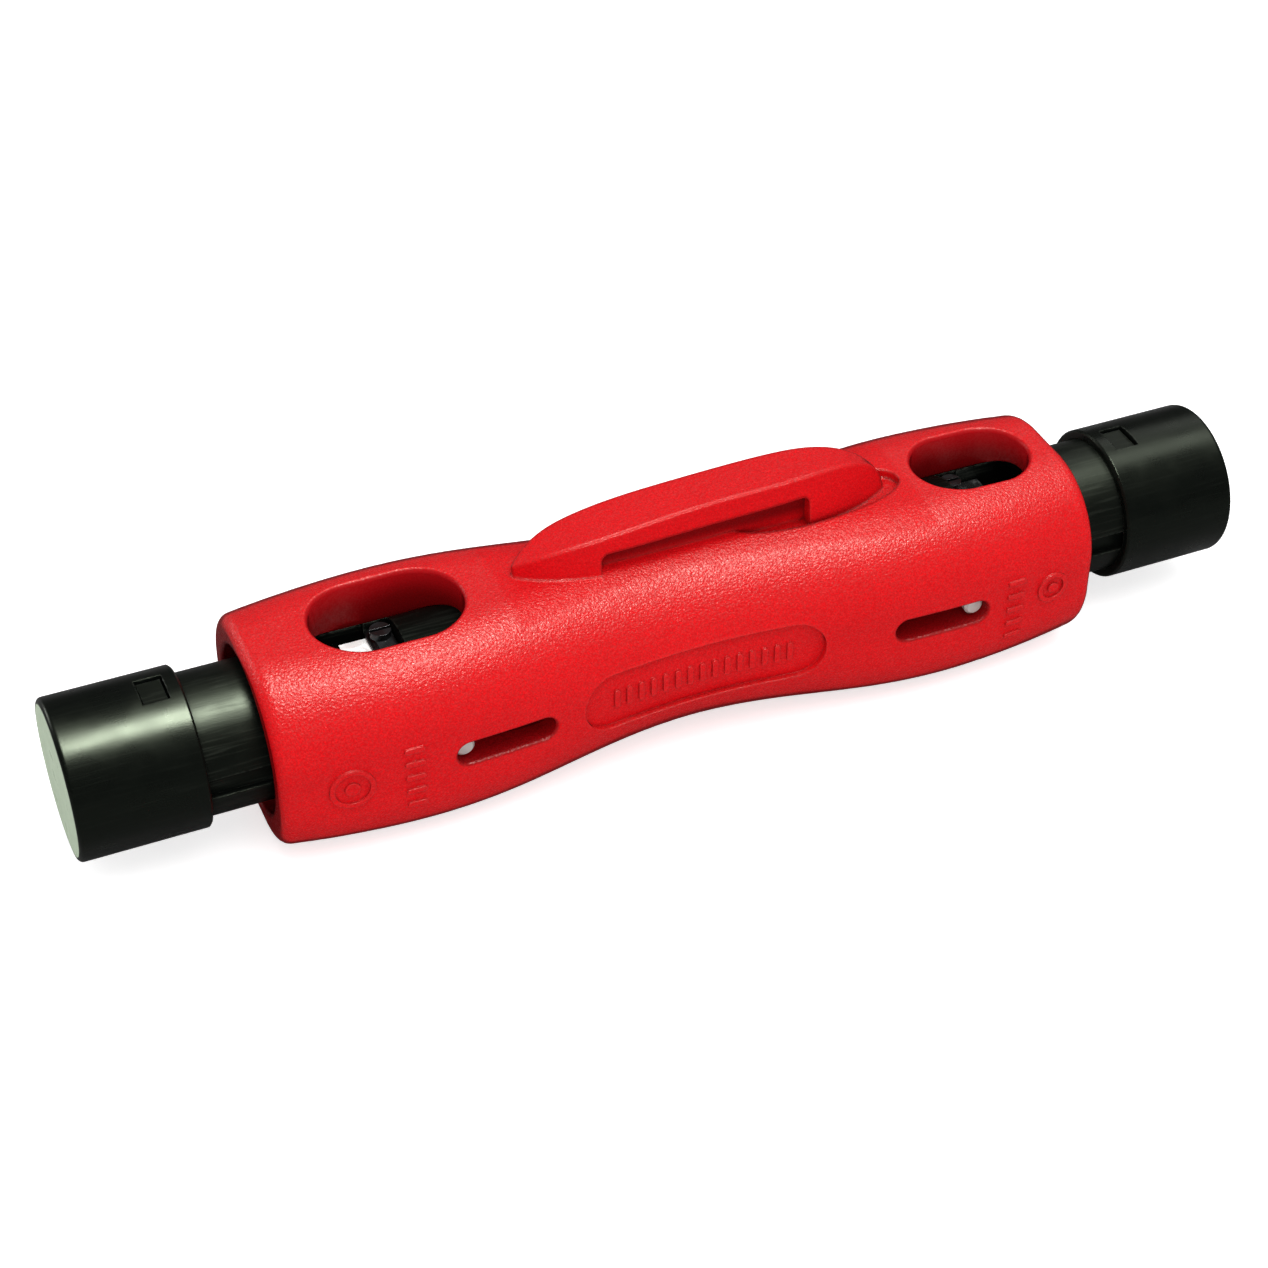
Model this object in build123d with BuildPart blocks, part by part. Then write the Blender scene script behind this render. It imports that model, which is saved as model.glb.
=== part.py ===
from build123d import *
import math
import os

# Double-ended coaxial cable stripper.
# X runs along the tool with the small-cable end at +X and the large-cable end at -X.
# The origin is the middle of the tool on its axis. Z is up through the cable windows.

# ---- driving dimensions, mm ----

# body outline
BODY_HALF_LENGTH = 52.6
WAIST_RADIUS = 12.25
BULGE_X = 33.0
BULGE_HALF_WIDTH = 14.2
BULGE_HALF_HEIGHT = 12.45
BULGE_TOP_CORNER = 9.3
BULGE_BOTTOM_CORNER = 8.0
END_TAPER = 0.5
RIM_FILLET = 1.6
WINDOW_FILLET = 0.5
SLOT_FILLET = 0.4

# bore and mouth
PLUNGER_RADIUS = 8.55
BORE_RADIUS = 8.60
MOUTH_RADIUS = 10.2
MOUTH_X = 49.4
MOUTH_FILLET = 0.35

# travel slots and pins
SLOT_LENGTH = 12.4
SLOT_WIDTH = 3.1
PIN_RADIUS = 1.25
PIN_LENGTH = 25.8
PIN_CHAMFER = 0.3
PIN_STOP_GAP = 0.02
PIN_SEAT_GAP = 0.02

# end caps
CAP_FACE_X = 75.0
CAP_SHOULDER_X = 59.6
CAP_RADIUS = 9.7
CAP_BORE_RADIUS = 8.62
CAP_FLOOR = 2.2
CAP_EDGE = 0.6
CAP_SKIRT_CHAMFER = 0.25
SNAP_X = 62.9
SNAP_LENGTH = 3.2
SNAP_WIDTH = 4.4
SNAP_GAP = 0.2
BARB_TOP = 9.05

# plungers
PLUNGER_TAIL = 12.5
PLUNGER_END_X = 72.6
TAIL_CHAMFER = 0.5
SPRING_POCKET_RADIUS = 6.0
SPRING_POCKET_DEPTH = 6.0
CORE_RADIUS = 5.4
CORE_X = 57.0
KEY_WIDTH = 2.7
KEY_DEPTH = 0.9
KEY_OVERLAP = 2.0

# return springs
SPRING_WIRE = 1.2
SPRING_RADIUS = 4.9
SPRING_TURNS = 6.5
SPRING_END_GAP = 0.1

# blade set of each end: carrier, jacket blade, spacer, core blade, clamp plate, two screws
SET_LENGTH = 2.9
SET_WIDTH = 9.2
SET_GAP = 0.1
CARRIER_BOTTOM = -4.0
BLADE_THICKNESS = 0.6
BLADE_WIDTH = 8.4
BLADE_BEVEL = 1.6
BLADE_LAND = 0.08
JACKET_BLADE_Z = -1.35
BLADE_SPACING = 6.35
CORE_BLADE_Z = JACKET_BLADE_Z + BLADE_SPACING
CLAMP_THICKNESS = 1.0
CLAMP_CHAMFER = 0.6
SCREW_RADIUS = 0.7
SCREW_GAP = 0.05
SCREW_SPACING = 6.0
SCREW_BOTTOM = -6.5
SCREW_HEAD_RADIUS = 1.3
SCREW_HEAD_HEIGHT = 0.85
DRIVE_WIDTH = 0.4
DRIVE_DEPTH = 0.4

# values of each end, measured outboard from the middle of the tool
LARGE = {
    "name": "large",
    "side": -1,
    "window_x": 34.9,
    "window_length": 18.4,
    "window_width": 12.4,
    "slot_x": 25.6,
    "hole_in": 36.5,
    "hole_out": 50.5,
    "hole_width": 11.4,
    "core_reach": 3.3,
    "jacket_reach": 1.4,
    "bulkhead": 2.0,
    "badge_x": 44.5,
    "badge_z": -0.5,
    "badge_radius": 2.7,
    "bars_x": 37.0,
}
SMALL = {
    "name": "small",
    "side": 1,
    "window_x": 41.2,
    "window_length": 15.2,
    "window_width": 11.0,
    "slot_x": 31.0,
    "hole_in": 42.2,
    "hole_out": 53.0,
    "hole_width": 8.8,
    "core_reach": 3.0,
    "jacket_reach": 1.1,
    "bulkhead": 7.4,
    "badge_x": 46.3,
    "badge_z": 0.5,
    "badge_radius": 2.1,
    "bars_x": 41.0,
}

# thumb rib
RIB_FOOT_Z = 10.0
RIB_FOOT_HALF_WIDTH = 4.0
RIB_HEAD_Z = 19.5
RIB_HEAD_HALF_WIDTH = 3.1
RIB_CREST = 18.3
RIB_ROOT = 1.9
RIB_EDGE = 0.25
RECESS_FLOOR_Z = 11.3
RECESS_MIDDLE = 19.0
RECESS_HALF_LENGTH = 12.2
RECESS_HALF_WIDTH = 4.4
GROOVE_FROM = -9.5
GROOVE_TO = 17.5
GROOVE_TOP = 15.6
GROOVE_RISE = 0.8
GROOVE_CORNER = 1.1

# label pocket and raised marks
LABEL_LENGTH = 31.3
LABEL_HEIGHT = 7.8
LABEL_Z = 0.3
LABEL_DEPTH = 0.8
LABEL_BARS = 15
LABEL_BAR_PITCH = 1.6
MARK_HEIGHT = 0.3
SIDE_BARS = 5
SIDE_BAR_PITCH = 2.0


def pin_x(end):
    """Cross pin centre at rest, against the outboard end of its slots."""
    return end["slot_x"] + SLOT_LENGTH / 2 - PIN_RADIUS - PIN_STOP_GAP


def body_station(x):
    """Half width, half height, top and bottom corner radius of the body outline at x."""
    reach = abs(x)
    if reach <= BULGE_X:
        swell = (1 - math.cos(math.pi * reach / BULGE_X)) / 2
    else:
        swell = 1 - END_TAPER * ((reach - BULGE_X) / (BODY_HALF_LENGTH - BULGE_X)) ** 2
    half_width = WAIST_RADIUS + (BULGE_HALF_WIDTH - WAIST_RADIUS) * swell
    half_height = WAIST_RADIUS + (BULGE_HALF_HEIGHT - WAIST_RADIUS) * swell
    top_corner = WAIST_RADIUS - 0.05 - (WAIST_RADIUS - BULGE_TOP_CORNER) * swell
    bottom_corner = WAIST_RADIUS - 0.05 - (WAIST_RADIUS - BULGE_BOTTOM_CORNER) * swell
    return half_width, half_height, top_corner, bottom_corner


def outline(grow):
    """Smooth solid of the body outline, grown outwards by a skin distance."""
    stations = [-BODY_HALF_LENGTH, -47, -40, -33, -25, -17, -8.5, 0]
    stations += [-x for x in reversed(stations[:-1])]
    with BuildPart(mode=Mode.PRIVATE) as skin:
        for x in stations:
            half_width, half_height, top_corner, bottom_corner = body_station(x)
            with BuildSketch(Plane.YZ.offset(x)) as section:
                Rectangle(2 * (half_width + grow), 2 * (half_height + grow))
                fillet(section.vertices().group_by(Axis.Y)[-1], top_corner + grow)
                fillet(section.vertices().group_by(Axis.Y)[0], bottom_corner + grow)
        loft()
    return skin.part


def leaf_outline(tail, nose, half_width):
    """Closed leaf-shaped edge loop on the current sketch, from tail to nose along X."""
    length = nose - tail
    Spline(
        (tail, 0),
        (tail + 0.09 * length, 0.68 * half_width),
        (tail + 0.20 * length, 0.96 * half_width),
        (tail + 0.50 * length, half_width),
        (tail + 0.76 * length, 0.97 * half_width),
        (tail + 0.89 * length, 0.68 * half_width),
        (nose, 0),
    )
    mirror(about=Plane.XZ)


def rib():
    """Leaf-shaped thumb rib with drafted sides, undercut by a groove in its middle."""
    with BuildPart(mode=Mode.PRIVATE) as leaf:
        with BuildSketch(Plane.XY.offset(RIB_FOOT_Z)):
            with BuildLine():
                leaf_outline(-19.9, 29.6, RIB_FOOT_HALF_WIDTH)
            make_face()
        with BuildSketch(Plane.XY.offset(RIB_HEAD_Z)):
            with BuildLine():
                leaf_outline(-19.3, 27.3, RIB_HEAD_HALF_WIDTH)
            make_face()
        loft()
        with BuildSketch(Plane.XZ):
            with BuildLine():
                crest = Spline(
                    (-19.4, 13.9),
                    (-16.8, 15.3),
                    (-11.0, 16.7),
                    (-2.0, 17.7),
                    (6.0, 18.15),
                    (14.0, RIB_CREST),
                    (20.0, 18.2),
                    (25.0, 17.0),
                    (29.2, 12.0),
                )
                Polyline(crest @ 1, (29.2, RIB_FOOT_Z), (-19.4, RIB_FOOT_Z), crest @ 0)
            make_face()
        extrude(amount=8, both=True, mode=Mode.INTERSECT)
        fillet(leaf.edges().sort_by(SortBy.LENGTH)[-2:], RIB_EDGE)
        with BuildSketch(Plane.XZ) as groove:
            with BuildLine():
                Polyline(
                    (GROOVE_FROM, RIB_FOOT_Z),
                    (GROOVE_FROM, GROOVE_TOP - GROOVE_RISE),
                    (GROOVE_TO, GROOVE_TOP),
                    (GROOVE_TO, RIB_FOOT_Z),
                    close=True,
                )
            make_face()
            fillet(groove.vertices().sort_by(Axis.Y)[-2:], GROOVE_CORNER)
        for side in (-1, 1):
            cutter = groove.sketch.moved(Location((0, side * RIB_ROOT, 0)))
            extrude(cutter, amount=6, dir=(0, side, 0), mode=Mode.SUBTRACT)
    return leaf.part


def rod(end, start, stop, radius, mode=Mode.ADD):
    """Cylinder on the tool's axis between two outboard distances."""
    with Locations((end["side"] * (start + stop) / 2, 0, 0)):
        Cylinder(radius, stop - start, rotation=(0, 90, 0), mode=mode)


def block(end, start, stop, width, bottom, top, mode=Mode.ADD):
    """Box centred on Y between two outboard distances and two heights."""
    with Locations((end["side"] * (start + stop) / 2, 0, (bottom + top) / 2)):
        Box(stop - start, width, top - bottom, mode=mode)


def screw_holes(end, radius, bottom, top, mode=Mode.SUBTRACT):
    """The two upright cylinders on the blade set's screw positions."""
    x = end["side"] * (end["hole_in"] - SET_GAP - SET_LENGTH / 2)
    for y in (-SCREW_SPACING / 2, SCREW_SPACING / 2):
        with Locations((x, y, (bottom + top) / 2)):
            Cylinder(radius, top - bottom, mode=mode)


def finish(builder, name):
    """Label a finished sub-part and write its file."""
    builder.part.label = name
    export_step(builder.part, f"parts/{name}.step")


os.makedirs("parts", exist_ok=True)
CORE_TOP = CORE_BLADE_Z + BLADE_THICKNESS / 2
CORE_BOTTOM = CORE_BLADE_Z - BLADE_THICKNESS / 2
JACKET_TOP = JACKET_BLADE_Z + BLADE_THICKNESS / 2
JACKET_BOTTOM = JACKET_BLADE_Z - BLADE_THICKNESS / 2
CLAMP_TOP = CORE_TOP + CLAMP_THICKNESS

# ---- body ----
body_skin = outline(0)
pocket_floor_skin = outline(-LABEL_DEPTH)
mark_skin = outline(MARK_HEIGHT)
label_mark_skin = outline(MARK_HEIGHT - LABEL_DEPTH)
with BuildPart() as body:
    add(body_skin)
    ends = body.faces().sort_by(Axis.X)
    fillet(ends[0].edges() + ends[-1].edges(), RIM_FILLET)

    # cable windows, right through from top to bottom
    with BuildSketch(Plane.XY):
        for end in (LARGE, SMALL):
            with Locations((end["side"] * end["window_x"], 0)):
                SlotOverall(end["window_length"], end["window_width"])
    extrude(amount=20, both=True, mode=Mode.SUBTRACT)
    fillet(body.edges(Select.LAST).filter_by(GeomType.LINE, reverse=True), WINDOW_FILLET)

    # travel slots, right through from side to side
    with BuildSketch(Plane.XZ):
        for end in (LARGE, SMALL):
            with Locations((end["side"] * end["slot_x"], 0)):
                SlotOverall(SLOT_LENGTH, SLOT_WIDTH)
    extrude(amount=20, both=True, mode=Mode.SUBTRACT)
    fillet(body.edges(Select.LAST).filter_by(GeomType.LINE, reverse=True), SLOT_FILLET)

    # thumb rib, whose small-cable end stands in a flat-floored recess of the bulge
    with BuildSketch(Plane.XY.offset(RECESS_FLOOR_Z)):
        with Locations((RECESS_MIDDLE, 0)):
            Ellipse(RECESS_HALF_LENGTH, RECESS_HALF_WIDTH)
    extrude(amount=5, mode=Mode.SUBTRACT)
    add(rib())

    # label pocket on each side, with a row of raised bars on its floor
    with BuildPart(mode=Mode.PRIVATE) as pocket:
        with BuildSketch(Plane.XZ):
            with Locations((0, LABEL_Z)):
                SlotOverall(LABEL_LENGTH, LABEL_HEIGHT)
        extrude(amount=20, both=True)
        add(pocket_floor_skin, mode=Mode.SUBTRACT)
    add(pocket.part, mode=Mode.SUBTRACT)
    with BuildPart(mode=Mode.PRIVATE) as label_bars:
        with BuildSketch(Plane.XZ):
            with Locations((0, LABEL_Z)):
                with GridLocations(LABEL_BAR_PITCH, 1, LABEL_BARS, 1):
                    RectangleRounded(0.7, 2.6, 0.3)
        extrude(amount=20, both=True)
        add(label_mark_skin, mode=Mode.INTERSECT)
    add(label_bars.part)

    # cable badge (concentric rings) and a column of bars near each end
    with BuildPart(mode=Mode.PRIVATE) as marks:
        with BuildSketch(Plane.XZ):
            for end in (LARGE, SMALL):
                with Locations((end["side"] * end["badge_x"], end["badge_z"])):
                    Circle(end["badge_radius"])
                    Circle(end["badge_radius"] - 0.6, mode=Mode.SUBTRACT)
                    Circle(end["badge_radius"] / 3)
                with Locations((end["side"] * end["bars_x"], -1)):
                    with GridLocations(1, SIDE_BAR_PITCH, 1, SIDE_BARS):
                        RectangleRounded(2.4, 0.7, 0.3)
        extrude(amount=20, both=True)
        add(mark_skin, mode=Mode.INTERSECT)
    add(marks.part)

    # bores and mouths
    for end in (LARGE, SMALL):
        rod(end, end["bulkhead"], BODY_HALF_LENGTH + 1, BORE_RADIUS, Mode.SUBTRACT)
        rod(end, MOUTH_X, BODY_HALF_LENGTH + 1, MOUTH_RADIUS, Mode.SUBTRACT)
        rings = body.edges(Select.LAST).filter_by(GeomType.CIRCLE)
        fillet(rings.sort_by(Axis.X, reverse=end["side"] < 0)[-1], MOUTH_FILLET)
finish(body, "body")


def make_plunger(end):
    """Sliding plunger: cable hole, pin hole, blade pocket, spring pocket, cap barbs."""
    tail = pin_x(end) - PLUNGER_TAIL
    side = end["side"]
    with BuildPart() as plunger:
        rod(end, tail, PLUNGER_END_X, PLUNGER_RADIUS)
        chamfer(plunger.edges().group_by(Axis.X)[0 if side > 0 else -1], TAIL_CHAMFER)
        rod(end, tail, tail + SPRING_POCKET_DEPTH, SPRING_POCKET_RADIUS, Mode.SUBTRACT)
        rod(end, CORE_X, PLUNGER_END_X, CORE_RADIUS, Mode.SUBTRACT)

        # cable hole, flat inboard and round outboard
        width = end["hole_width"]
        nose_x = end["hole_out"] - width / 2
        block(end, end["hole_in"], nose_x, width, -10, 10, Mode.SUBTRACT)
        with Locations((side * nose_x, 0, 0)):
            Cylinder(width / 2, 20, mode=Mode.SUBTRACT)

        # pocket and screw holes for the blade set, open upwards
        pocket_x = end["hole_in"] - SET_LENGTH - SET_GAP
        pocket_width = SET_WIDTH + 2 * SET_GAP
        block(end, pocket_x, end["hole_in"], pocket_width, CARRIER_BOTTOM, 10, Mode.SUBTRACT)
        screw_holes(end, SCREW_RADIUS + SCREW_GAP, SCREW_BOTTOM - 0.2, CARRIER_BOTTOM)

        # cross hole for the pin
        with Locations((side * pin_x(end), 0, 0)):
            Cylinder(PIN_RADIUS + PIN_SEAT_GAP, 20, rotation=(90, 0, 0), mode=Mode.SUBTRACT)

        # side grooves of the neck, and barbs that snap into the cap
        for y in (-PLUNGER_RADIUS, PLUNGER_RADIUS):
            middle = (end["hole_out"] - KEY_OVERLAP + CAP_SHOULDER_X + 1) / 2
            length = CAP_SHOULDER_X + 1 - end["hole_out"] + KEY_OVERLAP
            with Locations((side * middle, y, 0)):
                Box(length, 2 * KEY_DEPTH, KEY_WIDTH, mode=Mode.SUBTRACT)
        for z in (-1, 1):
            with Locations((side * SNAP_X, 0, z * (BARB_TOP - 0.6))):
                Box(SNAP_LENGTH - 2 * SNAP_GAP, SNAP_WIDTH - 2 * SNAP_GAP, 1.2)
    finish(plunger, end["name"] + "_plunger")


def make_end_cap(end):
    """Press cap that snaps over the plunger's outer end."""
    side = end["side"]
    with BuildPart() as cap:
        rod(end, CAP_SHOULDER_X, CAP_FACE_X, CAP_RADIUS)
        rings = cap.edges().filter_by(GeomType.CIRCLE).sort_by(Axis.X, reverse=side < 0)
        fillet(rings[-1], CAP_EDGE)
        chamfer(rings[0], CAP_SKIRT_CHAMFER)
        rod(end, CAP_SHOULDER_X - 1, CAP_FACE_X - CAP_FLOOR, CAP_BORE_RADIUS, Mode.SUBTRACT)
        with Locations((side * SNAP_X, 0, 0)):
            Box(SNAP_LENGTH, SNAP_WIDTH, 2 * CAP_RADIUS + 2, mode=Mode.SUBTRACT)
    finish(cap, end["name"] + "_end_cap")


def make_retaining_pin(end):
    """Cross pin through the plunger, running in the body's side slots."""
    with BuildPart() as pin:
        with Locations((end["side"] * pin_x(end), 0, 0)):
            Cylinder(PIN_RADIUS, PIN_LENGTH, rotation=(90, 0, 0))
        chamfer(pin.edges().filter_by(GeomType.CIRCLE), PIN_CHAMFER)
    finish(pin, end["name"] + "_retaining_pin")


def make_return_spring(end):
    """Compression spring between the bulkhead and the plunger's spring pocket."""
    start = end["bulkhead"] + SPRING_WIRE / 2 + SPRING_END_GAP
    stop = pin_x(end) - PLUNGER_TAIL + SPRING_POCKET_DEPTH - SPRING_WIRE / 2 - SPRING_END_GAP
    height = stop - start
    side = end["side"]
    with BuildPart() as spring:
        with BuildLine() as coil:
            Helix(
                pitch=height / SPRING_TURNS,
                height=height,
                radius=SPRING_RADIUS,
                center=(side * start, 0, 0),
                direction=(side, 0, 0),
            )
        with BuildSketch(Plane(origin=coil.line @ 0, z_dir=coil.line % 0)):
            Circle(SPRING_WIRE / 2)
        sweep(path=coil.line, is_frenet=True)
    finish(spring, end["name"] + "_return_spring")


def make_set_block(end, name, bottom, top, bevel=0):
    """One clamped layer of the blade set, full length and width, with two screw holes."""
    stop = end["hole_in"] - SET_GAP / 2
    with BuildPart() as layer:
        block(end, stop - SET_LENGTH, stop, SET_WIDTH, bottom, top)
        if bevel:
            crest = layer.edges().filter_by(Axis.Y).group_by(Axis.Z)[-1]
            crest = crest.sort_by(Axis.X, reverse=end["side"] < 0)
            chamfer(crest[-1], bevel)
        screw_holes(end, SCREW_RADIUS + SCREW_GAP, bottom - 1, top + 1)
    finish(layer, end["name"] + "_" + name)


def make_blade(end, name, middle_z, reach):
    """Flat blade with a long bevel under its cutting edge, which faces outboard."""
    root = end["hole_in"] - SET_GAP / 2 - SET_LENGTH
    tip = end["hole_in"] + reach
    side = end["side"]
    low = middle_z - BLADE_THICKNESS / 2
    high = middle_z + BLADE_THICKNESS / 2
    with BuildPart() as blade:
        with BuildSketch(Plane.XZ):
            with BuildLine():
                Polyline(
                    (side * root, low),
                    (side * (tip - BLADE_BEVEL), low),
                    (side * tip, high - BLADE_LAND),
                    (side * tip, high),
                    (side * root, high),
                    close=True,
                )
            make_face()
        extrude(amount=BLADE_WIDTH / 2, both=True)
        screw_holes(end, SCREW_RADIUS + SCREW_GAP, low - 1, high + 1)
    finish(blade, end["name"] + "_" + name)


def make_clamp_screws(end):
    """The two screws that clamp the blade set down into the plunger."""
    x = end["side"] * (end["hole_in"] - SET_GAP - SET_LENGTH / 2)
    with BuildPart() as screws:
        screw_holes(end, SCREW_RADIUS, SCREW_BOTTOM, CLAMP_TOP + 0.1, Mode.ADD)
        head_top = CLAMP_TOP + SCREW_HEAD_HEIGHT
        screw_holes(end, SCREW_HEAD_RADIUS, CLAMP_TOP, head_top, Mode.ADD)
        for y in (-SCREW_SPACING / 2, SCREW_SPACING / 2):
            with Locations((x, y, head_top - DRIVE_DEPTH / 2)):
                Box(3, DRIVE_WIDTH, DRIVE_DEPTH, mode=Mode.SUBTRACT)
    finish(screws, end["name"] + "_clamp_screws")


for end in (LARGE, SMALL):
    make_plunger(end)
    make_end_cap(end)
    make_retaining_pin(end)
    make_return_spring(end)
    make_set_block(end, "blade_carrier", CARRIER_BOTTOM, JACKET_BOTTOM)
    make_blade(end, "jacket_blade", JACKET_BLADE_Z, end["jacket_reach"])
    make_set_block(end, "blade_spacer", JACKET_TOP, CORE_BOTTOM)
    make_blade(end, "core_blade", CORE_BLADE_Z, end["core_reach"])
    make_set_block(end, "clamp_plate", CORE_TOP, CLAMP_TOP, CLAMP_CHAMFER)
    make_clamp_screws(end)
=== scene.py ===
import math

import bpy
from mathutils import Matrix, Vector


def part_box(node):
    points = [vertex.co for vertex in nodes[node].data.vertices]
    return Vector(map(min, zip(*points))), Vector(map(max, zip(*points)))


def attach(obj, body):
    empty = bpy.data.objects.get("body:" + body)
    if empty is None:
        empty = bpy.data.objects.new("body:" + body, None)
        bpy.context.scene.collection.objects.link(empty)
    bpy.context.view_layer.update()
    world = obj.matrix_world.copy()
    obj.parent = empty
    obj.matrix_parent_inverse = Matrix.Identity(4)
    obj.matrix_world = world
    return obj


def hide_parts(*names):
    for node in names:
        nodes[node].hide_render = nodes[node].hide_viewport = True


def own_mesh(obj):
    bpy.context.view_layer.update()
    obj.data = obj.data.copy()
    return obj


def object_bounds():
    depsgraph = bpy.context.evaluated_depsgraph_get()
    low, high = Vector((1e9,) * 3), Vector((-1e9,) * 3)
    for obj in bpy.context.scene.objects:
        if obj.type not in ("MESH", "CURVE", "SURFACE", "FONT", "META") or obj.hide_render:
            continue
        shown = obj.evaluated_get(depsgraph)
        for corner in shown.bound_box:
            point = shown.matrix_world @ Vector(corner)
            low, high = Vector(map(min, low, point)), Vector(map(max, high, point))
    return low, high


# Looks of the double-ended coaxial cable stripper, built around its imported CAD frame.
# Lengths are in metres, in the CAD frame: X along the tool, Z up through the cable windows.

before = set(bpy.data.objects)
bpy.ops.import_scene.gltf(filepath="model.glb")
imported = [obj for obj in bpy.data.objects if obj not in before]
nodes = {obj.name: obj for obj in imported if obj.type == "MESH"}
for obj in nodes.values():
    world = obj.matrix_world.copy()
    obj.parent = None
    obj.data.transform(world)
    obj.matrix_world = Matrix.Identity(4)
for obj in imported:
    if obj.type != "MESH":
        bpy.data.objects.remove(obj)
cad_low, cad_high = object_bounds()
MM = 0.001

# ---- sizes of the CAD frame ----
BODY_END = 52.6 * MM
BORE_RADIUS = 8.6 * MM
RIB_BOTTOM = 11.0 * MM
RIB_START = -22.0 * MM
RIB_STOP = 32.4 * MM
# grooves under the rib, and half the thickness of the web left between them
GROOVE_START = -9.5 * MM
GROOVE_STOP = 17.5 * MM
GROOVE_TOP = 15.4 * MM
RIB_WEB = 1.9 * MM
WALL_TOP = 12.4 * MM
CAP_FACE_X = 75.0 * MM
CAP_EDGE_RADIUS = 9.1 * MM
WIRE = 1.2 * MM
# middle, half straight length and end radius of the cable windows and the side slots
WINDOWS = ((-34.9 * MM, 3.0 * MM, 6.2 * MM), (41.2 * MM, 2.1 * MM, 5.5 * MM))
SLOTS = ((-25.6 * MM, 4.65 * MM, 1.55 * MM), (31.0 * MM, 4.65 * MM, 1.55 * MM))

# ---- colours, linear ----
RED = (0.72, 0.0050, 0.0085)
RED_DEEP = (0.44, 0.0035, 0.0058)
RED_WORN = (0.80, 0.075, 0.07)
# painted shade: darker red for the walls of the cable windows and the bore
RED_WALL_SHADE = (0.36, 0.0040, 0.0068)
# painted shade: dark red for crevices, deep window and bore walls, slots, the web under the rib and the
# silhouette
RED_SHADE = (0.12, 0.0016, 0.0026)
BLACK = (0.0026, 0.0034, 0.0029)
BLACK_WORN = (0.030, 0.034, 0.028)
BLACK_SHEEN = (0.86, 1.0, 0.74)
CAP_SHEEN = (0.80, 0.95, 0.72)
RED_SHEEN = (1.0, 0.66, 0.60)
NYLON = (0.20, 0.21, 0.20)
NYLON_DARK = (0.12, 0.125, 0.12)
STEEL = (0.62, 0.63, 0.62)
STEEL_DARK = (0.36, 0.37, 0.37)
BLADE = (0.90, 0.91, 0.89)
PIN = (0.95, 0.91, 0.86)
OXIDE = (0.012, 0.013, 0.014)
OXIDE_RUBBED = (0.045, 0.047, 0.048)
SPRING_STEEL = (0.42, 0.43, 0.44)
FLOOR = (0.93, 0.93, 0.93)

# ---- studio, as radiance of a white wall ----
FILL = 0.88
BACKDROP = 1.0
ROOM_LOW = 0.03
ROOM_HIGH = 0.07
FLOOR_IN_SHEEN = 0.16
FLOOR_IN_BOUNCE = 0.58
FLOOR_GLOW = 0.60
FLOOR_HALF = 6.0
FLOOR_GAP = 0.02 * MM
# name, place, size, watts, and whether it is seen in reflections or lights matt surfaces
SOFTBOXES = (
    ("key_sheen", (0.045, -0.045, 0.50), (0.22, 0.12), 9.2, True),
    ("back_sheen", (0.36, 0.33, 0.41), (0.20, 0.20), 0.2, True),
    ("rim_sheen", (-0.49, 0.57, 0.22), (0.30, 0.15), 1.6, True),
    ("right_sheen", (0.31, 0.05, 0.43), (0.16, 0.16), 0.45, True),
    ("key_soft", (0.10, -0.20, 0.80), (0.60, 0.60), 2.9, False),
    ("front_soft", (-0.25, -0.90, 0.35), (0.80, 0.50), 2.6, False),
)

# ---- camera ----
CAMERA_AZIMUTH = math.radians(-23.15)
CAMERA_ELEVATION = math.radians(39.11)
CAMERA_DISTANCE = 0.32302
CAMERA_AIM = Vector((-0.0038, 0.00027, -0.00153))
CAMERA_LENS = 75.24


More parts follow.
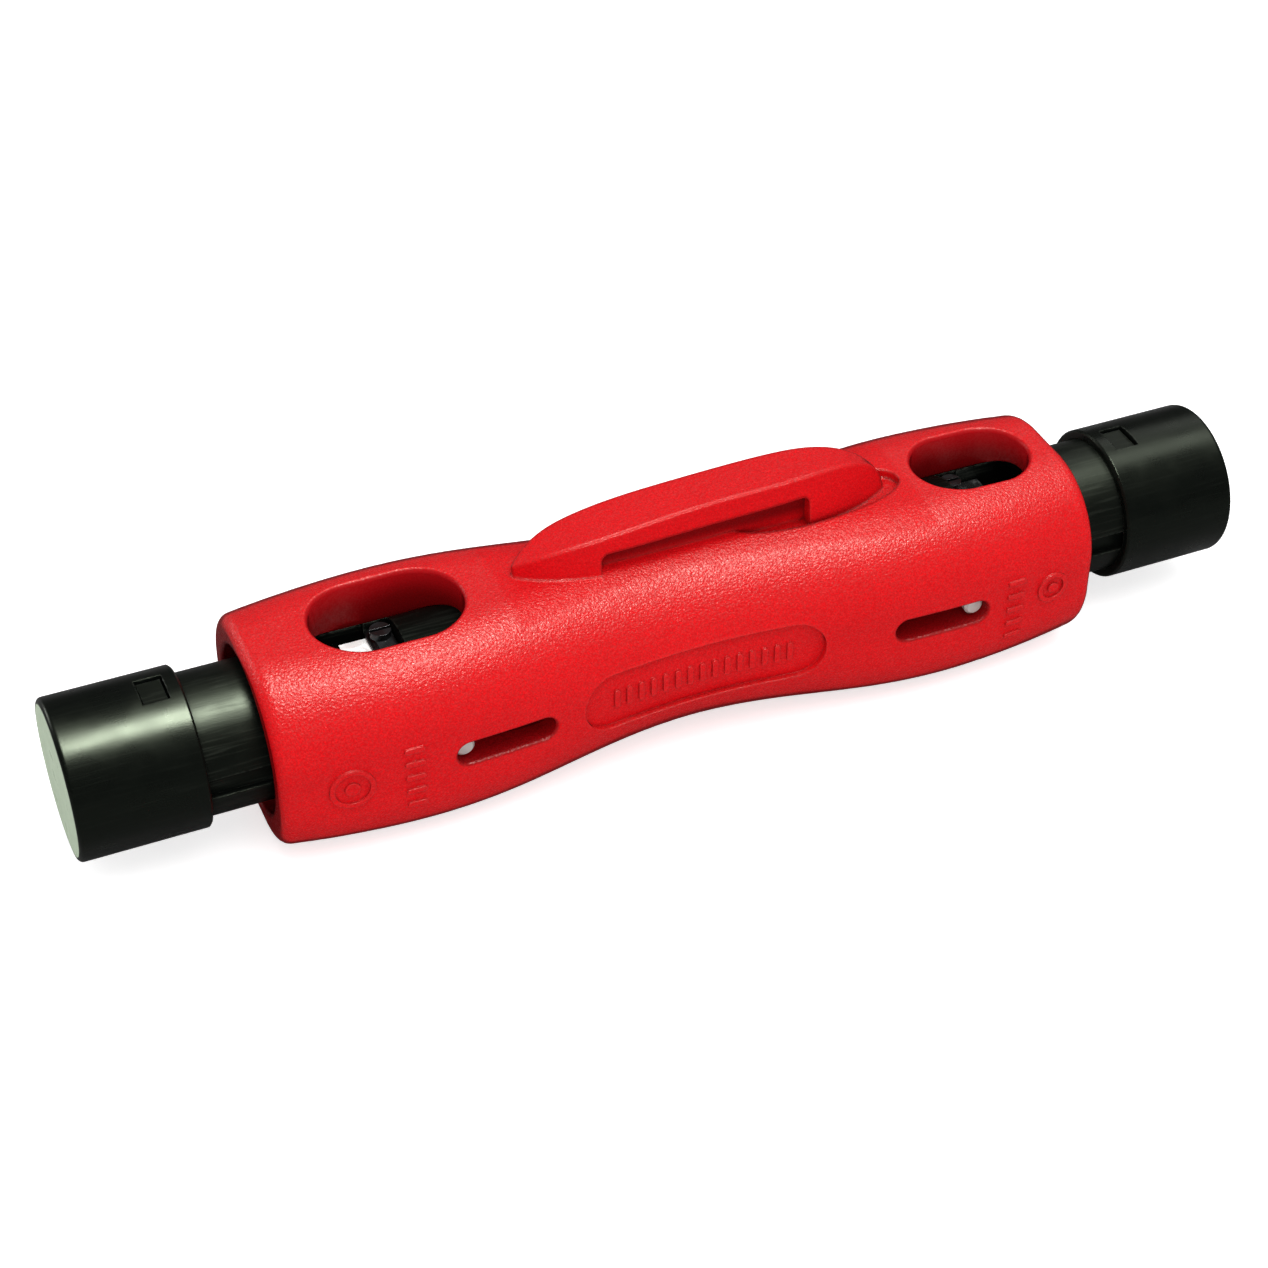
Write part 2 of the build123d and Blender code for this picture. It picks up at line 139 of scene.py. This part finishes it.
class Shader:
    """Builds one Principled material node by node. Values may be numbers, colours or sockets."""

    def __init__(self, name):
        self.material = bpy.data.materials.new(name)
        self.material.use_nodes = True
        self.tree = self.material.node_tree
        self.principled = self.tree.nodes["Principled BSDF"]
        self.place = self.add("ShaderNodeTexCoord").outputs["Object"]
        axes = self.add("ShaderNodeSeparateXYZ", Vector=self.place).outputs
        self.x, self.y, self.z = axes["X"], axes["Y"], axes["Z"]

    def set(self, socket, value):
        """Link a socket, or store a number or colour in it."""
        if isinstance(value, bpy.types.NodeSocket):
            self.tree.links.new(value, socket)
        elif socket.type == "RGBA":
            socket.default_value = (*value, 1.0)
        else:
            socket.default_value = value

    def add(self, kind, settings=None, **inputs):
        """New node with its properties and its named inputs set."""
        node = self.tree.nodes.new(kind)
        for key, value in (settings or {}).items():
            setattr(node, key, value)
        for key, value in inputs.items():
            self.set(node.inputs[key.replace("_", " ")], value)
        return node

    def math(self, operation, first, second=0.0):
        """Scalar operation on two values."""
        node = self.tree.nodes.new("ShaderNodeMath")
        node.operation = operation
        self.set(node.inputs[0], first)
        self.set(node.inputs[1], second)
        return node.outputs[0]

    def product(self, first, *others):
        """All values multiplied together."""
        for value in others:
            first = self.math("MULTIPLY", first, value)
        return first

    def dimmed(self, mask, share=1.0):
        """1 outside a mask, lower by share inside it."""
        return self.math("SUBTRACT", 1.0, self.math("MULTIPLY", mask, share))

    def fade(self, value, start, stop, low=0.0, high=1.0):
        """Smooth step of a value from low at start to high at stop."""
        node = self.tree.nodes.new("ShaderNodeMapRange")
        node.interpolation_type = "SMOOTHSTEP"
        for socket, entry in zip(node.inputs[:5], (value, start, stop, low, high)):
            self.set(socket, entry)
        return node.outputs[0]

    def mix(self, share, first, second):
        """Colour between first and second."""
        node = self.tree.nodes.new("ShaderNodeMix")
        node.data_type = "RGBA"
        self.set(node.inputs[0], share)
        self.set(node.inputs[6], first)
        self.set(node.inputs[7], second)
        return node.outputs[2]

    def stretched(self, x, y, z):
        """Object coordinates scaled along each axis."""
        node = self.tree.nodes.new("ShaderNodeMapping")
        self.set(node.inputs["Vector"], self.place)
        node.inputs["Scale"].default_value = (x, y, z)
        return node.outputs["Vector"]

    def length(self, first, second):
        """Length of the hypotenuse of two values."""
        squares = self.math("ADD", self.product(first, first), self.product(second, second))
        return self.math("SQRT", squares)

    def noise(self, size, detail=2.0, vector=None, roughness=0.5):
        """Noise with features of about the given size in metres."""
        node = self.add(
            "ShaderNodeTexNoise",
            Vector=vector or self.place,
            Scale=1.0 / size,
            Detail=detail,
            Roughness=roughness,
        )
        return node.outputs["Fac"]

    def cells(self, size, randomness=1.0):
        """Distance to the nearest of scattered points, about the given size apart."""
        node = self.add(
            "ShaderNodeTexVoronoi",
            {"feature": "F1"},
            Vector=self.place,
            Scale=1.0 / size,
            Randomness=randomness,
        )
        return node.outputs["Distance"]

    def edges(self, width):
        """1 on sharp convex edges, 0 on open surface."""
        node = self.add("ShaderNodeAmbientOcclusion", {"inside": True, "samples": 6}, Distance=width)
        return self.math("SUBTRACT", 1.0, node.outputs["AO"])

    def crevices(self, width):
        """1 deep in corners and slots, 0 on open surface."""
        node = self.add("ShaderNodeAmbientOcclusion", {"samples": 6}, Distance=width)
        return self.math("SUBTRACT", 1.0, node.outputs["AO"])

    def rounded(self, radius):
        """Surface normal with its sharp edges rounded off."""
        return self.add("ShaderNodeBevel", {"samples": 4}, Radius=radius).outputs["Normal"]

    def turned(self, normal):
        """0 where a normal is the surface's own, rising as it leans away."""
        own = self.add("ShaderNodeNewGeometry").outputs["Normal"]
        node = self.tree.nodes.new("ShaderNodeVectorMath")
        node.operation = "DOT_PRODUCT"
        self.set(node.inputs[0], own)
        self.set(node.inputs[1], normal)
        return self.math("SUBTRACT", 1.0, node.outputs["Value"])

    def facing(self, normal):
        """0 where a normal points at the viewer, 1 where it is seen edge on."""
        return self.add("ShaderNodeLayerWeight", Blend=0.5, Normal=normal).outputs["Facing"]

    def bump(self, height, depth, normal=None, strength=1.0):
        """Surface normal disturbed by a height field of the given depth in metres."""
        node = self.add("ShaderNodeBump", Height=height, Distance=depth, Strength=strength)
        if normal is not None:
            self.set(node.inputs["Normal"], normal)
        return node.outputs["Normal"]

    def finish(self, **inputs):
        """Set the Principled inputs and return the material."""
        for key, value in inputs.items():
            self.set(self.principled.inputs[key.replace("_", " ")], value)
        return self.material


def hole_walls(s, holes, across):
    """1 on the walls of long round-ended holes, whose width runs along across. 0 elsewhere."""
    walls = 0.0
    for middle, straight, radius in holes:
        along = s.math("SUBTRACT", s.math("ABSOLUTE", s.math("SUBTRACT", s.x, middle)), straight)
        distance = s.length(s.math("MAXIMUM", along, 0.0), across)
        walls = s.math("MAXIMUM", walls, s.fade(distance, radius + 0.45 * MM, radius + 0.10 * MM))
    return walls


def red_plastic():
    """Moulded red body: spark-eroded grain outside, drawn smooth walls in windows and bores, and painted
    shade in crevices, on window and bore walls, in slots, under the rib and near the silhouette.
    """
    s = Shader("red_body_plastic")
    bore = s.fade(s.length(s.y, s.z), BORE_RADIUS + 2.2 * MM, BORE_RADIUS + 1.8 * MM)
    inner = s.math("MAXIMUM", bore, hole_walls(s, WINDOWS, s.y))
    outer = s.dimmed(inner)

    cells = s.cells(0.34 * MM)
    fine = s.noise(0.17 * MM, 1.0)
    drawn = s.noise(0.25 * MM, 2.0, s.stretched(1.0, 1.0, 0.08))
    grain = s.math("ADD", s.product(cells, 0.8), s.product(fine, 0.9))
    height = s.math("ADD", s.product(grain, outer), s.product(drawn, inner, 0.2))
    cloud = s.fade(s.noise(7 * MM, 3.0), 0.35, 0.65)
    speckle = s.fade(s.math("SUBTRACT", fine, s.product(cells, 0.3)), 0.30, 0.50, 1.0, 0.0)
    glint = s.fade(s.noise(0.26 * MM, 1.0), 0.40, 0.60)

    on_rib = s.product(
        s.fade(s.x, RIB_START, RIB_START + MM),
        s.fade(s.x, RIB_STOP, RIB_STOP - MM),
        s.fade(s.z, RIB_BOTTOM, RIB_BOTTOM + 0.5 * MM),
    )
    smooth_normal = s.rounded(s.math("ADD", 0.18 * MM, s.product(on_rib, 0.5 * MM)))
    ridge = s.fade(s.turned(smooth_normal), 0.02, 0.08)
    # painted shade: darker red where the surface is seen edge on, and on the rib's rounded back edge
    # turned from the viewer
    facing = s.facing(smooth_normal)
    rib_edge_shade = s.product(ridge, on_rib, s.fade(facing, 0.45, 0.62))
    outline_shade = s.math("MAXIMUM", rib_edge_shade, s.fade(facing, 0.70, 0.84))

    worn = s.fade(s.edges(0.5 * MM), 0.18, 0.62)
    # painted shade in corners and creases, found by ambient occlusion
    crevice_shade = s.fade(s.crevices(2.2 * MM), 0.40, 0.95)
    # painted shade on the window and bore walls, deepening towards the bore
    wall_depth_shade = s.fade(s.math("ABSOLUTE", s.z), WALL_TOP, BORE_RADIUS - 0.5 * MM)
    # painted shade on the walls of the side slots
    slot_shade = hole_walls(s, SLOTS, s.z)
    # painted shade on the web under the rib, darker towards the top of the groove
    groove_shade = s.product(
        s.fade(s.math("ABSOLUTE", s.y), RIB_WEB + 0.25 * MM, RIB_WEB + 0.05 * MM),
        s.fade(s.z, GROOVE_TOP - 4.2 * MM, GROOVE_TOP - 2.0 * MM),
        s.fade(s.z, GROOVE_TOP + 0.4 * MM, GROOVE_TOP + 0.1 * MM),
        s.fade(s.x, GROOVE_START - 0.2 * MM, GROOVE_START),
        s.fade(s.x, GROOVE_STOP + 0.2 * MM, GROOVE_STOP),
    )

    colour = s.mix(s.product(cloud, 0.10), RED, RED_DEEP)
    colour = s.mix(s.product(speckle, 0.52), colour, RED_DEEP)
    colour = s.mix(s.product(worn, 0.12), colour, RED_WORN)
    # painted shade darkens corners and creases
    colour = s.mix(s.product(crevice_shade, 0.80), colour, RED_SHADE)
    # painted shade on the walls of the windows and the bore
    colour = s.mix(s.product(inner, 0.90), colour, s.mix(wall_depth_shade, RED_WALL_SHADE, RED_SHADE))
    # painted shade under the rib
    colour = s.mix(s.product(groove_shade, 0.85), colour, RED_SHADE)
    # painted shade in the side slots
    colour = s.mix(s.product(slot_shade, 0.65), colour, RED_SHADE)
    # painted shade near the silhouette
    colour = s.mix(s.product(outline_shade, 0.80), colour, RED_SHADE)

    shine = s.math("ADD", 0.12, s.product(glint, 0.20))
    shine = s.product(shine, s.dimmed(inner, 0.6), s.dimmed(outline_shade, 0.8), s.dimmed(on_rib, 0.5))
    shine = s.math("ADD", shine, s.product(ridge, 0.25))
    return s.finish(
        Base_Color=colour,
        Roughness=s.math("ADD", 0.31, s.product(speckle, 0.12)),
        Normal=s.bump(height, 0.060 * MM, smooth_normal, s.dimmed(ridge, 0.7)),
        Specular_IOR_Level=shine,
        Specular_Tint=RED_SHEEN,
    )


def black_plastic(name, roughness, streaks, face_sheen):
    """Black satin plastic with a fine skin, drag marks along the tool and rubbed edges."""
    s = Shader(name)
    fine = s.noise(0.16 * MM, 2.0)
    cloud = s.fade(s.noise(4 * MM, 3.0), 0.35, 0.70)
    drag = s.fade(s.noise(0.3 * MM, 3.0, s.stretched(0.04, 1.0, 1.0)), 0.50, 0.72)
    worn = s.fade(s.edges(0.35 * MM), 0.22, 0.60)
    chipped = s.product(worn, s.fade(s.noise(0.7 * MM, 3.0), 0.38, 0.60))
    colour = s.mix(s.product(drag, streaks), BLACK, BLACK_WORN)
    colour = s.mix(s.product(chipped, 0.85), colour, BLACK_WORN)
    gloss = s.math("ADD", roughness, s.product(cloud, 0.07))
    gloss = s.math("ADD", gloss, s.product(drag, 0.25 * streaks))
    height = s.math("ADD", fine, s.product(drag, streaks))

    # inside the red body and in corners, where no studio light reaches
    hidden = s.fade(s.math("ABSOLUTE", s.x), BODY_END + 0.5 * MM, BODY_END - 2.5 * MM)
    hidden = s.math("MAXIMUM", hidden, s.fade(s.crevices(2.5 * MM), 0.25, 0.60))

    # flat end face of a cap, inside its rounded rim
    flat = s.product(
        s.fade(s.math("ABSOLUTE", s.x), CAP_FACE_X - 0.04 * MM, CAP_FACE_X - 0.01 * MM),
        s.fade(s.length(s.y, s.z), CAP_EDGE_RADIUS, CAP_EDGE_RADIUS - 0.2 * MM),
    )
    return s.finish(
        Base_Color=colour,
        Roughness=gloss,
        Normal=s.bump(height, 0.010 * MM, s.rounded(0.15 * MM), 0.6),
        Specular_IOR_Level=s.product(0.19, s.dimmed(hidden, 0.85)),
        Specular_Tint=BLACK_SHEEN,
        Sheen_Weight=s.product(flat, face_sheen),
        Sheen_Roughness=0.35,
        Sheen_Tint=CAP_SHEEN,
    )


def metal(name, bright, dark, roughness, grain, stretch, depth, metallic=1.0):
    """Worked metal: fine lines of the tool that cut it, cloudy tarnish and polished edges."""
    s = Shader(name)
    lines = s.noise(grain, 3.0, s.stretched(*stretch))
    tarnish = s.fade(s.noise(1.1 * MM, 3.0), 0.40, 0.72)
    worn = s.fade(s.edges(0.2 * MM), 0.25, 0.65)
    colour = s.mix(s.product(tarnish, 0.55), bright, dark)
    colour = s.mix(s.product(s.fade(lines, 0.40, 0.62), 0.25), colour, dark)
    colour = s.mix(s.product(worn, 0.5), colour, bright)
    gloss = s.math("ADD", roughness, s.product(tarnish, 0.12))
    return s.finish(
        Base_Color=colour,
        Metallic=metallic,
        Roughness=gloss,
        Normal=s.bump(lines, depth, s.rounded(0.06 * MM), 0.7),
    )


def grey_nylon():
    """Glass-filled nylon of the blade carriers and spacers: matt, speckled, soft edges."""
    s = Shader("grey_nylon")
    fibres = s.noise(0.12 * MM, 2.0, s.stretched(0.35, 1.0, 1.0))
    cloud = s.fade(s.noise(1.5 * MM, 2.0), 0.35, 0.65)
    colour = s.mix(s.fade(fibres, 0.40, 0.62), NYLON_DARK, NYLON)
    colour = s.mix(s.product(cloud, 0.3), colour, NYLON_DARK)
    return s.finish(
        Base_Color=colour,
        Roughness=s.math("ADD", 0.50, s.product(cloud, 0.1)),
        Normal=s.bump(fibres, 0.012 * MM, s.rounded(0.08 * MM)),
    )


NO_STRETCH = (1.0, 1.0, 1.0)
MATERIALS = {
    "body": red_plastic(),
    "plunger": black_plastic("black_plunger_plastic", 0.36, 0.30, 0.0),
    "end_cap": black_plastic("black_cap_plastic", 0.27, 0.06, 1.0),
    "retaining_pin": metal("pin_steel", PIN, STEEL, 0.40, 0.06 * MM, NO_STRETCH, 0.004 * MM, 0.6),
    "return_spring": metal(
        "spring_wire", SPRING_STEEL, STEEL_DARK, 0.28, 0.05 * MM, (1.0, 0.1, 0.1), 0.004 * MM
    ),
    "blade_carrier": grey_nylon(),
    "jacket_blade": metal(
        "blade_steel", BLADE, STEEL, 0.42, 0.05 * MM, (1.0, 0.03, 1.0), 0.003 * MM, 0.85
    ),
    "small_blade": metal(
        "polished_blade_steel", STEEL, STEEL_DARK, 0.14, 0.05 * MM, (1.0, 0.03, 1.0), 0.003 * MM
    ),
    "clamp_plate": metal(
        "black_clamp_steel", OXIDE_RUBBED, OXIDE, 0.34, 0.15 * MM, NO_STRETCH, 0.006 * MM
    ),
    "clamp_screws": metal(
        "black_screw_steel", OXIDE_RUBBED, OXIDE, 0.28, 0.05 * MM, NO_STRETCH, 0.004 * MM
    ),
}
MATERIALS["blade_spacer"] = MATERIALS["blade_carrier"]
MATERIALS["core_blade"] = MATERIALS["jacket_blade"]
MATERIALS["small_jacket_blade"] = MATERIALS["small_blade"]
MATERIALS["small_core_blade"] = MATERIALS["small_blade"]


def paint(piece, material):
    """Give a piece one material in all its slots."""
    if not piece.material_slots:
        piece.data.materials.append(material)
    for slot in piece.material_slots:
        slot.material = material


def paint_cad_nodes():
    """Every CAD node takes the material of its own name, or else of its kind."""
    for name, node in nodes.items():
        kind = name.split("_", 1)[-1]
        paint(node, MATERIALS.get(name, MATERIALS[kind]))


def coil_point(turn, turns, start, stop, radius):
    """Centre of the wire after a number of turns, with one closed coil at each end."""
    free = (stop - start - 2 * WIRE) / (turns - 2)
    x = start + WIRE * min(turn, 1) + free * min(max(turn - 1, 0), turns - 2)
    x += WIRE * max(turn - turns + 1, 0)
    angle = 2 * math.pi * turn
    return Vector((x, radius * math.cos(angle), radius * math.sin(angle)))


def return_spring(end):
    """Closed and ground compression spring, coiled within the box of its CAD part."""
    low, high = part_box(f"{end}_return_spring")
    radius = (high.y - low.y - WIRE) / 2
    turns, steps, sides = 8, 56, 14
    start, stop = low.x + 0.35 * WIRE, high.x - 0.35 * WIRE
    points = []
    faces = []
    for i in range(turns * steps + 1):
        centre = coil_point(i / steps, turns, start, stop, radius)
        outward = Vector((0, centre.y, centre.z)).normalized()
        for k in range(sides):
            angle = 2 * math.pi * k / sides
            point = centre + WIRE / 2 * (math.cos(angle) * outward + math.sin(angle) * Vector((1, 0, 0)))
            point.x = min(max(point.x, low.x), high.x)
            points.append(point)
    for i in range(turns * steps):
        for k in range(sides):
            a, b = i * sides + k, i * sides + (k + 1) % sides
            faces.append((a, b, b + sides, a + sides))
    last = turns * steps * sides
    faces.append(tuple(range(sides))[::-1])
    faces.append(tuple(range(last, last + sides)))
    mesh = bpy.data.meshes.new(f"{end}_spring_coil")
    mesh.from_pydata(points, [], faces)
    mesh.shade_smooth()
    coil = bpy.data.objects.new(f"{end}_spring_coil", mesh)
    bpy.context.scene.collection.objects.link(coil)
    paint(coil, MATERIALS["return_spring"])
    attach(coil, "body")
    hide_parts(f"{end}_return_spring")
    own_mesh(coil)


def make_floor():
    """Plain pale floor that the body rests on."""
    mesh = bpy.data.meshes.new("floor")
    signs = ((-1, -1), (1, -1), (1, 1), (-1, 1))
    corners = [(x * FLOOR_HALF, y * FLOOR_HALF, cad_low.z - FLOOR_GAP) for x, y in signs]
    mesh.from_pydata(corners, [], [(0, 1, 2, 3)])
    floor = bpy.data.objects.new("floor", mesh)
    bpy.context.scene.collection.objects.link(floor)
    s = Shader("pale_floor")
    tone = s.fade(s.noise(25 * MM, 2.0), 0.3, 0.7, 0.985, 1.0)
    colour = s.mix(tone, (0.88, 0.88, 0.88), FLOOR)
    path = s.add("ShaderNodeLightPath").outputs
    colour = s.mix(path["Is Glossy Ray"], colour, [FLOOR_IN_SHEEN * tint for tint in FLOOR])
    colour = s.mix(path["Is Diffuse Ray"], colour, [FLOOR_IN_BOUNCE * tint for tint in FLOOR])
    paint(floor, s.finish(
        Base_Color=colour,
        Roughness=0.75,
        Specular_IOR_Level=0.2,
        Emission_Color=FLOOR,
        Emission_Strength=s.product(path["Is Camera Ray"], FLOOR_GLOW),
    ))


def softbox(name, place, size, power, sheen):
    """Rectangular soft light aimed at the tool, for reflections alone or for matt surfaces alone."""
    light = bpy.data.lights.new(name, "AREA")
    light.shape = "RECTANGLE"
    light.size, light.size_y = size
    light.energy = power
    box = bpy.data.objects.new(name, light)
    box.location = place
    box.rotation_euler = (-Vector(place)).to_track_quat("-Z", "Y").to_euler()
    box.visible_diffuse = not sheen
    box.visible_glossy = sheen
    bpy.context.scene.collection.objects.link(box)


def make_world():
    """White studio: even fill for matt surfaces, a dim room in the reflections."""
    world = bpy.data.worlds.new("studio")
    world.use_nodes = True
    world.cycles.sampling_method = "NONE"
    tree = world.node_tree
    background = tree.nodes["Background"]
    path = tree.nodes.new("ShaderNodeLightPath")
    where = tree.nodes.new("ShaderNodeTexCoord")
    split = tree.nodes.new("ShaderNodeSeparateXYZ")
    tree.links.new(where.outputs["Generated"], split.inputs[0])
    room = tree.nodes.new("ShaderNodeMapRange")
    room.interpolation_type = "SMOOTHSTEP"
    tree.links.new(split.outputs["Z"], room.inputs[0])
    for socket, value in zip(room.inputs[1:5], (0.0, 1.0, ROOM_LOW, ROOM_HIGH)):
        socket.default_value = value
    matt = tree.nodes.new("ShaderNodeMix")
    tree.links.new(path.outputs["Is Diffuse Ray"], matt.inputs[0])
    matt.inputs[2].default_value = BACKDROP
    matt.inputs[3].default_value = FILL
    seen = tree.nodes.new("ShaderNodeMix")
    tree.links.new(path.outputs["Is Glossy Ray"], seen.inputs[0])
    tree.links.new(matt.outputs[0], seen.inputs[2])
    tree.links.new(room.outputs[0], seen.inputs[3])
    tree.links.new(seen.outputs[0], background.inputs["Strength"])
    background.inputs["Color"].default_value = (1, 1, 1, 1)
    bpy.context.scene.world = world


def make_camera():
    """Camera looking down at the tool from its large end."""
    back = Vector((
        math.sin(CAMERA_AZIMUTH) * math.cos(CAMERA_ELEVATION),
        -math.cos(CAMERA_AZIMUTH) * math.cos(CAMERA_ELEVATION),
        math.sin(CAMERA_ELEVATION),
    ))
    lens = bpy.data.cameras.new("camera")
    lens.lens = CAMERA_LENS
    lens.sensor_width = 36
    lens.clip_start = 0.01
    camera = bpy.data.objects.new("camera", lens)
    camera.location = CAMERA_AIM + back * CAMERA_DISTANCE
    camera.rotation_euler = (-back).to_track_quat("-Z", "Y").to_euler()
    bpy.context.scene.collection.objects.link(camera)
    bpy.context.scene.camera = camera


paint_cad_nodes()
for end in ("large", "small"):
    return_spring(end)
make_floor()
make_world()
for entry in SOFTBOXES:
    softbox(*entry)
bpy.context.scene.view_settings.view_transform = "Standard"
make_camera()
